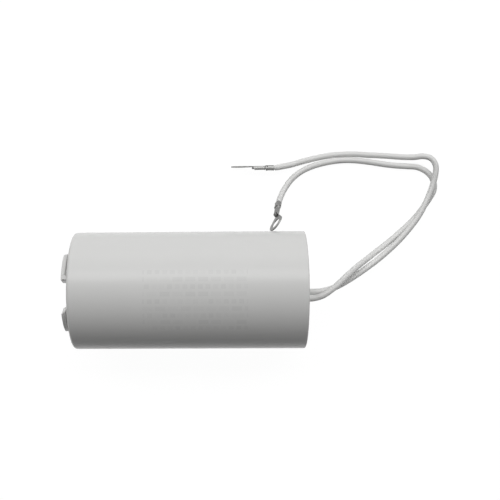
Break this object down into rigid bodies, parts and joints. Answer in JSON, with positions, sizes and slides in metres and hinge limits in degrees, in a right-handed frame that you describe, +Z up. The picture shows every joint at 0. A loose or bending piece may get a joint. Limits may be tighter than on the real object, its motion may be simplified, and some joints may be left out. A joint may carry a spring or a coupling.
{
  "type": "motor run capacitor",
  "caption": "Round white plastic motor run capacitor with twist-lock lugs on its base and insulated leads from its lid that end in crimped ring terminals.",
  "frame": {"origin": "on the surface it lies on, under the middle of the case's length over the lugs, on the case's centre plane", "axes": "+X runs along the case's axis from the twist-lock base to the lid, where the leads come out, +Y points to the side on which the leads are laid out, +Z is up"},
  "size_m": [0.1475, 0.079, 0.045],
  "materials": {
    "case_plastic": "satin",
    "lid_plastic": "matt",
    "potting_resin": "satin",
    "film_roll": "satin",
    "core_plastic": "matt",
    "sprayed_metal": "matt",
    "lead_insulation": "satin",
    "solder": "satin",
    "tinned_strands": "tinned",
    "tinned_terminal": "tin plated"
  },
  "bodies": {
    "root": {"case": "case_plastic", "lid": "lid_plastic", "resin_fill": "potting_resin", "winding": "film_roll", "winding_core": "core_plastic", "base_spray": "sprayed_metal", "lid_spray": "sprayed_metal", "inner_lead_a": "lead_insulation", "inner_lead_b": "lead_insulation", "solder_a": "solder", "solder_b": "solder", "lead_a": "lead_insulation", "lead_b": "lead_insulation", "gripped_end_a": "lead_insulation", "gripped_end_b": "lead_insulation", "strands_a": "tinned_strands", "strands_b": "tinned_strands", "ring_terminal_a": "tinned_terminal", "ring_terminal_b": "tinned_terminal"}
  },
  "joints": []
}
